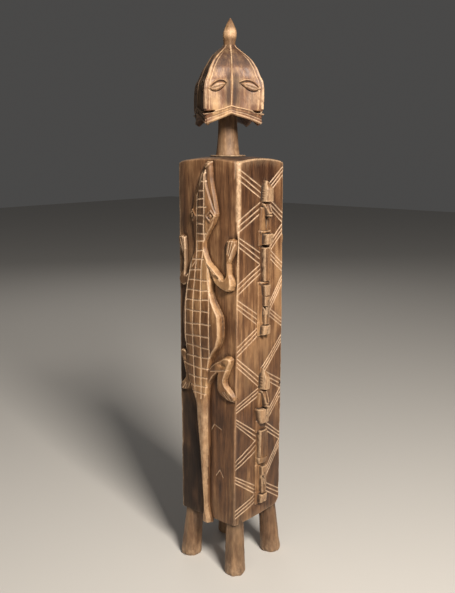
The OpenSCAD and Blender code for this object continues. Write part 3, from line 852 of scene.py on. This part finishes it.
def stopper():
    """The plug in the mouth and the collar that rests on the seat."""
    plug_r = MOUTH_R - 0.35
    collar_r = (plug_hi[0] - plug_lo[0]) / 2
    low, seat, top = plug_lo[2], SEAT_Z, plug_hi[2]
    levels = [low, low, low, low + 0.5, low + 1.2]
    radii = [0.4, 8, plug_r - 1.4, plug_r - 0.5, plug_r - 0.1]
    levels += list(np.linspace(low + 2, seat - 0.3, 30))
    radii += [plug_r] * 30
    levels += [seat + 0.02, seat + 0.02, seat + 0.3, seat + 1.2, seat + 2.0, top - 0.4, top, top]
    radii += [plug_r, collar_r - 1.0, collar_r - 0.3, collar_r, collar_r - 0.2, collar_r - 1.1,
              collar_r - 2.4, 0.5]
    # The collar above the seat is pale: rubbed wood and painted highlight.
    wear = [0.2 if z < seat else 0.75 for z in levels]
    wear[-1] = 0.2
    return turned_piece("stopper_turned", "stopper_plug", "stopper", "plug_wood", "plug",
                        levels, radii, 0.0, wear, 31)


def neck():
    """The whittled neck, from the collar up into the head."""
    low, high = neck_lo[2], neck_hi[2]
    foot_r, top_r = (neck_hi[0] - neck_lo[0]) / 2, 12.6
    shares = fine_shares(90)
    flare = (foot_r - top_r) * (0.55 * (1 - shares) + 0.45 * (1 - shares) ** 4)
    levels = list(low + 0.02 + (high + 9 - low) * shares)
    radii = list(top_r - 0.5 + flare)
    wear = list(0.1 + 0.3 * (1 - shares) ** 3)
    return turned_piece("neck_whittled", "neck", "head", "carved_wood", "ground",
                        [levels[0]] + levels + [levels[-1]], [0.5] + radii + [0.5],
                        0.5, [0.3] + wear + [0.3], 33)


def topknot():
    """A bud on a short waist, with a chipped point."""
    low, high = knot_lo[2], knot_hi[2]
    tall, r = high - low, (knot_hi[0] - knot_lo[0]) / 2
    shares = fine_shares(90)
    outline = eased(shares, [0, 0.08, 0.2, 0.38, 0.5, 0.62, 0.76, 0.9, 1],
                    [0.86, 0.8, 0.82, 0.96, 0.97, 0.86, 0.62, 0.3, 0.07], 0.025) * r
    levels = list(low - 3 + (tall + 3) * shares)
    wear = list(0.05 + 0.75 * smooth(0.26, 0.42, shares) * smooth(0.72, 0.5, shares))
    return turned_piece("topknot_bud", "topknot", "head", "worn_wood", "raised",
                        [levels[0]] + levels, [0.4] + list(outline), 0.8, [0.2] + wear, 35)


# ---- The head ----

# A nose's line: heights above the chin and shares of its largest distance from the axis.
NOSE_LINE = ((-5, 0.80), (0, 0.86), (4, 0.93), (12, 0.94), (15, 0.97), (18, 0.975), (33, 0.985),
             (47, 0.98), (56, 0.945), (62, 0.87), (73, 0.77), (83, 0.63), (91, 0.47), (97, 0.31),
             (101, 0.2), (105, 0.15))
EYE_H, MOUTH_H, LIP_H = 49.0, 16.5, 13.5  # above the chin
# How far each cheek's keel is askew, in degrees, from the cheek towards +X +Y on.
KEEL_SKEW = (-1.5, 2.0, -2.5, 6.3)
SHADED_CHEEK = 2  # the cheek that is painted with deep shade


def jaw_rise(v):
    """How far the jaw's lower edge is above the chin, v being 0 on a keel and 1 on a nose."""
    return 14 * (1 - v) ** 0.9


def head_relief(v, flat, z):
    """What is added to a flat cheek: keel, nose bands, eye, mouth and lips; and the marks."""
    place = v * flat
    corner = flat - place
    h = z - CHIN_Z
    up = smooth(10, CROWN_Z - CHIN_Z - 4, h)
    keel = np.clip(1 - place / 1.5, 0, 1) * smooth(24, 27, h)
    swelling = 2.0 * (1 - v) ** 1.2
    hollowed = -1.2 * np.exp(-((v - 0.42) / 0.2) ** 2)
    added = 1.5 * keel + swelling + hollowed * smooth(18, 38, h) * (1 - up)
    # Nose bands: a broad outer one along the ridge and a thin one inside it.
    broad = 1.7 + 1.6 * smooth(90, 23, h)
    above = smooth(19.5, 21, h)
    band = smooth(broad + 0.5, broad - 0.5, corner) * above
    inner = groove(np.abs(corner - broad - 3.4), 1.8) * above * smooth(96, 84, h)
    added = added + 0.9 * band + 0.55 * inner
    # An almond eye with a lid line and a slit.
    middle = 0.56 * flat
    along = (place - middle) / 11.5
    rise = (h - EYE_H + 0.32 * (place - middle)) / 5.8
    almond = 1 - np.abs(rise) - along ** 2
    rimmed = groove(np.abs(almond + 0.02), 0.36) * (np.abs(along) < 1.12)
    ball = smooth(0.08, 0.5, almond)
    slit = groove(np.abs(rise + 0.12), 0.42) * (np.abs(along) < 0.62)
    lid = groove(np.abs(almond + 0.42), 0.34) * (rise > -0.15) * (np.abs(along) < 1.1)
    added = added - 1.3 * rimmed + 1.5 * ball - 0.9 * slit * ball + 0.9 * lid
    # The mouth is a slot across the corner; the lips run up to the keel as a double band.
    slot_h = MOUTH_H + 1.2 * smooth(0, 16, corner)
    slot = groove(np.abs(h - slot_h), 3.4) * smooth(17, 12, corner)
    added = added - 8.5 * slot * smooth(18, 4, corner)
    lip_h = LIP_H + 11 * (1 - v)
    jaw_h = jaw_rise(v)
    upper = groove(np.abs(h - lip_h), 2.6)
    seam = groove(np.abs(h - (lip_h * 0.55 + jaw_h * 0.45)), 1.8)
    lower = groove(np.abs(h - jaw_h - 2.0), 3.0)
    step = smooth(lip_h + 1.6, lip_h + 0.2, h)
    added = added + 1.5 * upper + lower - seam + 0.8 * step
    pale = np.maximum.reduce([0.95 * band * smooth(0.2, 1.6, band * 2), inner, keel,
                              0.9 * upper, 0.8 * lower, 0.35 * ball, 0.5 * lid])
    # Painted shade in the eye's rim groove and slit, in the mouth slot and in the lip seam.
    dark_and_shade = np.maximum.reduce([rimmed, slot, 0.8 * slit * ball, 0.45 * seam])
    stripe = smooth(0.36, 0.14, v) * smooth(0.03, 0.07, v) * smooth(19, 30, h) * smooth(78, 58, h)
    cap = smooth(61, 84, h + 9 * noise(v * 5, z / 11, 45, 2)) * 0.62
    dark_and_shade = np.maximum(dark_and_shade, np.maximum(0.72 * stripe, cap * (1 - band)))
    cheek = smooth(0.36, 0.55, v) * smooth(45, 38, h) * smooth(23, 28, h)
    pale = np.maximum(pale, 0.3 * cheek * (1 - rimmed))
    return added, 0.5 * seam, pale, dark_and_shade


def head():
    """The four-faced head: square in section with a nose down each corner."""
    around = int(HEAD_COLUMNS / COARSE) // 8 * 8  # so that each nose and keel is on a column
    theta = np.arange(around) / around * 2 * math.pi
    off_keel = theta % (math.pi / 2) - math.pi / 4
    cheek = (theta // (math.pi / 2)).astype(int) % 4
    from_keel = np.abs(off_keel)
    askew = np.radians(np.array(KEEL_SKEW))[cheek]
    v = np.tan(np.abs(off_keel + askew * np.exp(-(off_keel / 0.26) ** 2)))[None, :]
    v = np.minimum(v, 1)
    shares = fine_shares(HEAD_ROWS)[:, None]
    z = (CHIN_Z + jaw_rise(v)) * (1 - shares) + (CROWN_Z - 0.2) * shares
    heights, reaches = zip(*NOSE_LINE)
    nose = eased(z - CHIN_Z, heights, np.array(reaches) * NOSE_R, 1.2)
    flat = nose * math.cos(math.pi / 4)
    added, cut, pale, dark_and_shade = head_relief(v, np.maximum(flat, 4), z)
    added = added * (0.25 + 0.75 * smooth(100, 86, z - CHIN_Z))
    rounding = 2.6
    into = np.clip(rounding - flat * (1 - v), 0, rounding)
    added = added - (rounding - np.sqrt(np.maximum(rounding ** 2 - into ** 2, 0))) * 0.9
    square = (flat + added) / np.cos(from_keel)[None, :]
    round_r = nose * 0.9 + added * 0.5
    blend_up = smooth(82, 101, z - CHIN_Z)
    r = square * (1 - blend_up) + round_r * blend_up
    x0, y0 = np.cos(theta)[None, :], np.sin(theta)[None, :]
    chips = 0.22 * noise(x0 * 9 + 40, y0 * 9 + z / 7, 41, 3)
    r = np.minimum(r + chips, NOSE_R - 0.1)
    a = theta[None, :] + HEAD_TURN
    rings = leaned(np.stack([AXIS[0] + r * np.cos(a), AXIS[1] + r * np.sin(a), z], -1))
    # Under the jaw the wood is hollowed up to the neck, and painted with shade that is deepest at the
    # neck.
    under, under_shade = [], []
    neck_r, neck_z = 11.0, neck_hi[2] + 7
    for t in np.linspace(0, 1, 14)[:-1]:
        reach = neck_r + (r[0] - neck_r) * t ** 1.4
        level = neck_z + (z[0] - neck_z) * t ** 2.2
        under.append(np.stack([AXIS[0] + reach * np.cos(a[0]), AXIS[1] + reach * np.sin(a[0]), level], -1))
        under_shade.append(np.full(around, 0.85 - 0.4 * t))
    rings = np.concatenate([np.array(under), rings])
    blank = np.zeros((len(under), around))
    frayed = 0.72 + 0.4 * noise(x0 * 14 + 30, y0 * 14 + z / 3.5, 43, 2)
    # The cheek turned away from the light is painted with deep shade and rubbed less.
    cheek_shade = 0.78 * (cheek == SHADED_CHEEK) * smooth(0.99, 0.9, v)
    dark_and_shade = np.maximum(dark_and_shade, cheek_shade)
    marks = {"cut": np.concatenate([blank, cut]),
             "wear": np.concatenate([blank, pale * frayed * (1 - 0.7 * (cheek == SHADED_CHEEK))]),
             "dirt_and_shade": np.concatenate([np.array(under_shade), dark_and_shade])}
    return tube_piece("head_carved", rings, marks, "head", "head", "carved_wood",
                      carved_wood("head"))


# ---- Wood ----

# Deepest, middle and palest colour of each wood, then the colours of rubbed wood, cuts, grime with painted
# shade, and stains.
WOODS = {
    "ground": ((0.045, 0.017, 0.007), (0.155, 0.070, 0.029), (0.34, 0.185, 0.085)),
    "raised": ((0.055, 0.021, 0.008), (0.20, 0.095, 0.038), (0.42, 0.24, 0.11)),
    "head": ((0.045, 0.015, 0.008), (0.17, 0.075, 0.034), (0.42, 0.25, 0.12)),
    "foot": ((0.050, 0.022, 0.010), (0.15, 0.074, 0.034), (0.31, 0.18, 0.09)),
    "plug": ((0.025, 0.012, 0.006), (0.09, 0.045, 0.022), (0.20, 0.11, 0.055)),
}
RUBBED = (0.78, 0.53, 0.32, 1)
CUT = (0.80, 0.57, 0.38, 1)
# The near-black colour of grime and of painted shade.
GRIME_AND_SHADE = (0.010, 0.005, 0.003, 1)
STAIN = (0.025, 0.014, 0.009, 1)
made_woods = {}


class Nodes:
    """Short ways to add and join shader nodes."""

    def __init__(self, name):
        self.material = bpy.data.materials.new(name)
        self.material.use_nodes = True
        self.tree = self.material.node_tree
        self.shader = self.tree.nodes["Principled BSDF"]

    def add(self, kind, links=(), **settings):
        node = self.tree.nodes.new("ShaderNode" + kind)
        for key, value in settings.items():
            setattr(node, key, value)
        for socket, source in links:
            if hasattr(source, "is_output"):
                self.tree.links.new(source, node.inputs[socket])
            else:
                node.inputs[socket].default_value = source
        return node

    def math(self, how, a, b=0.0):
        return self.add("Math", [(0, a), (1, b)], operation=how).outputs[0]

    def total(self, *parts, start=0.0):
        """A sum of sources, each multiplied by its weight."""
        for source, weight in parts:
            start = self.math("ADD", self.math("MULTIPLY", source, weight), start)
        return start

    def mix(self, factor, a, b):
        return self.add("Mix", [(0, factor), (6, a), (7, b)], data_type="RGBA").outputs[2]

    def ramp(self, factor, stops):
        node = self.add("ValToRGB", [("Fac", factor)])
        band = node.color_ramp
        while len(band.elements) < len(stops):
            band.elements.new(0.5)
        for element, (place, colour) in zip(band.elements, stops):
            element.position = place
            element.color = (*colour, 1)
        return node.outputs["Color"]

    def mark(self, name):
        return self.add("Attribute", attribute_name=name).outputs["Fac"]

    def noise(self, scale, stretch, detail=4.0, rough=0.6):
        """Noise with about scale lumps to a metre, stretched along the trunk."""
        place = self.add("TexCoord").outputs["Object"]
        moved = self.add("Mapping", [("Vector", place), ("Scale", stretch)])
        return self.add("TexNoise", [("Vector", moved.outputs[0]), ("Scale", scale),
                                     ("Detail", detail), ("Roughness", rough)]).outputs["Fac"]


def grey(low, high):
    """Stops of a ramp from black to white."""
    return [(low, (0, 0, 0)), (high, (1, 1, 1))]


def carved_wood(kind):
    """Hand-carved, handled hardwood: grain, stains, rubbed edges with some painted highlights, pale cuts,
    and grime with painted shade in recesses.
    """
    if kind in made_woods:
        return made_woods[kind]
    shade, middle, light = WOODS[kind]
    n = Nodes("wood_" + kind)
    patches = n.noise(16, (1, 1, 0.5), 5, 0.62)
    streaks = n.noise(170, (1, 1, 0.07), 5, 0.65)
    fibres = n.noise(900, (1, 1, 0.05), 3, 0.6)
    specks = n.noise(420, (1, 1, 0.6), 3, 0.7)
    tone = n.total((patches, 0.95), (streaks, 0.55), (fibres, 0.2), start=-0.35)
    colour = n.ramp(tone, [(0.33, shade), (0.50, middle), (0.64, light)])
    dark_patch = n.ramp(n.noise(9, (1, 1, 0.45), 4, 0.6), grey(0.52, 0.66))
    colour = n.mix(n.math("MULTIPLY", dark_patch, 0.6), colour, STAIN)
    # Grime and painted shade pull the colour towards near-black.
    dirt_and_shade = n.math("MULTIPLY", n.mark("dirt_and_shade"), 0.95)
    colour = n.mix(dirt_and_shade, colour, GRIME_AND_SHADE)
    grit = n.ramp(specks, grey(0.3, 0.62))
    # Rubbed wood, with some painted highlights, pulls the colour towards pale tan.
    rub = n.math("MULTIPLY", n.mark("wear"), n.total((grit, 0.55), start=0.4))
    colour = n.mix(rub, colour, RUBBED)
    cut = n.math("MULTIPLY", n.mark("cut"), n.total((grit, 0.45), start=0.5))
    colour = n.mix(cut, colour, CUT)
    n.tree.links.new(colour, n.shader.inputs["Base Color"])
    gloss = n.ramp(n.total((patches, 0.5), (streaks, 0.5)), [(0.3, (0.38,) * 3), (0.7, (0.62,) * 3)])
    rough = n.mix(n.mark("dirt_and_shade"), gloss, (0.8, 0.8, 0.8, 1))
    n.tree.links.new(rough, n.shader.inputs["Roughness"])
    grain = n.total((streaks, 0.8), (fibres, 0.35), (specks, 0.25))
    bump = n.add("Bump", [("Height", grain), ("Strength", 0.55), ("Distance", 0.0008)])
    n.tree.links.new(bump.outputs["Normal"], n.shader.inputs["Normal"])
    n.shader.inputs["Specular IOR Level"].default_value = 0.5
    made_woods[kind] = n.material
    return n.material


# ---- The pieces ----

trunk()
for i, leg_name in enumerate(("leg_front_left", "leg_front_right", "leg_back_left", "leg_back_right")):
    leg(leg_name, 3 + 5 * i)
crocodile("crocodile_front", 0, 11)
crocodile("crocodile_back", 2, 17)
for i, (figure, side_number) in enumerate((("ancestor_right_upper", 1), ("ancestor_right_lower", 1),
                                           ("ancestor_left_upper", 3), ("ancestor_left_lower", 3))):
    ancestor(figure, side_number, 60 + i)
stopper()
neck()
head()
topknot()


# ---- Floor, lights and camera ----

EYE_AT = (0.6568, -0.7889, 0.5928)  # in metres, as all of the staging
HEADING, PITCH = math.radians(40.08), math.radians(11.25)
LENS = 45.2


def floor():
    """A plain pale floor."""
    reach = 6.0
    mesh = bpy.data.meshes.new("floor")
    mesh.from_pydata([(-reach, -reach, 0), (reach, -reach, 0), (reach, reach, 0), (-reach, reach, 0)],
                     [], [(0, 1, 2, 3)])
    pale = Nodes("floor_pale")
    pale.shader.inputs["Base Color"].default_value = (0.62, 0.60, 0.57, 1)
    pale.shader.inputs["Roughness"].default_value = 0.9
    mesh.materials.append(pale.material)
    ground = put("floor", mesh)


def aim(thing, place, direction):
    """Stands a light or camera at a place, turned in a direction."""
    thing.location = place
    thing.rotation_mode = "QUATERNION"
    thing.rotation_quaternion = direction.to_track_quat("-Z", "Y")


def softbox(name, place, target, size, power, colour):
    """A soft area light at a place, turned to a target."""
    light = bpy.data.lights.new(name, "AREA")
    light.shape = "RECTANGLE"
    light.size, light.size_y = size
    light.energy = power
    light.color = colour
    aim(put(name, light), place, Vector(target) - Vector(place))


def camera():
    """The photograph's viewpoint: off the corner between the crocodile and the ancestors."""
    data = bpy.data.cameras.new("camera")
    data.lens = LENS
    data.clip_start = 0.01
    level = math.cos(PITCH)
    eye = put("camera", data)
    aim(eye, EYE_AT, Vector((-math.sin(HEADING) * level, math.cos(HEADING) * level, -math.sin(PITCH))))
    bpy.context.scene.camera = eye


floor()
softbox("key", (1.12, -0.55, 1.42), (0, 0, 0.45), (0.42, 0.42), 46, (1, 0.93, 0.84))
softbox("front", (0.5, -2.2, 1.3), (0, 0, 0.4), (1.2, 1.2), 3.5, (1, 0.95, 0.88))
softbox("back", (-1.6, 1.4, 1.6), (0, 0, 0.4), (1.2, 1.2), 5, (1, 0.95, 0.9))
world = bpy.data.worlds.new("world")
bpy.context.scene.world = world
world.use_nodes = True
world.node_tree.nodes["Background"].inputs["Color"].default_value = (0.9, 0.88, 0.86, 1)
world.node_tree.nodes["Background"].inputs["Strength"].default_value = 0.075
bpy.context.scene.view_settings.view_transform = "Standard"
camera()
